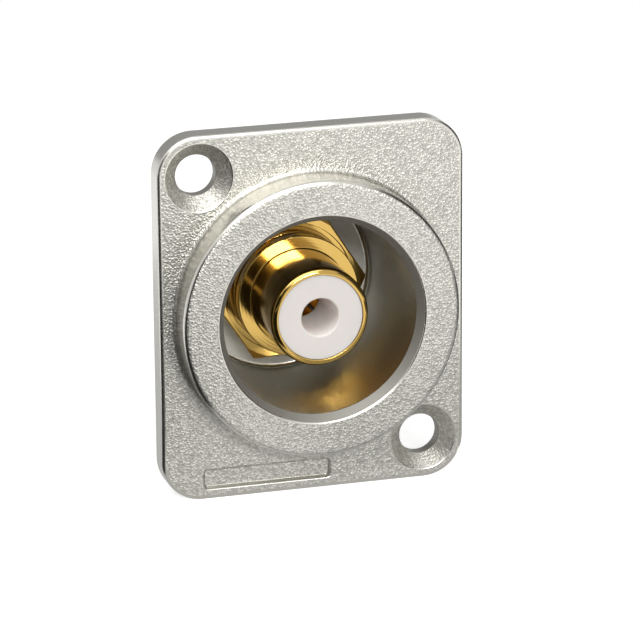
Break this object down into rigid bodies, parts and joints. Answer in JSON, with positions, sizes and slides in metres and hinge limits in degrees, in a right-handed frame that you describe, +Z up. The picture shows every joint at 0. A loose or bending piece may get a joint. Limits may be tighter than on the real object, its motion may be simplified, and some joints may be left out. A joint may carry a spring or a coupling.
{
  "type": "rca panel socket",
  "caption": "Phono socket with a gold-plated barrel, deep in a round collar on a rectangular die-cast flange with screw holes on one diagonal.",
  "frame": {"origin": "on the socket's axis, in the plane of the flange's back face, at the centre of the screw pattern", "axes": "the front faces -Y and the panel is behind at +Y, +Z is up along the flange's long side, +X is right seen from the front"},
  "size_m": [0.026, 0.0263, 0.031],
  "materials": {
    "satin_nickel": "satin nickel plate on die-cast zinc",
    "gold_plate": "polished gold plate on turned brass",
    "white_insulator": "turned acetal, matt",
    "natural_nylon": "moulded nylon, natural",
    "plated_steel": "nickel-plated steel"
  },
  "bodies": {
    "root": {"shell": "satin_nickel", "socket_body": "gold_plate", "front_insulator": "white_insulator", "centre_contact": "gold_plate", "rear_insulator": "white_insulator", "shoulder_washer": "natural_nylon", "insulating_washer": "natural_nylon", "ground_tag": "gold_plate", "lock_washer": "plated_steel", "hex_nut": "gold_plate"}
  },
  "joints": []
}
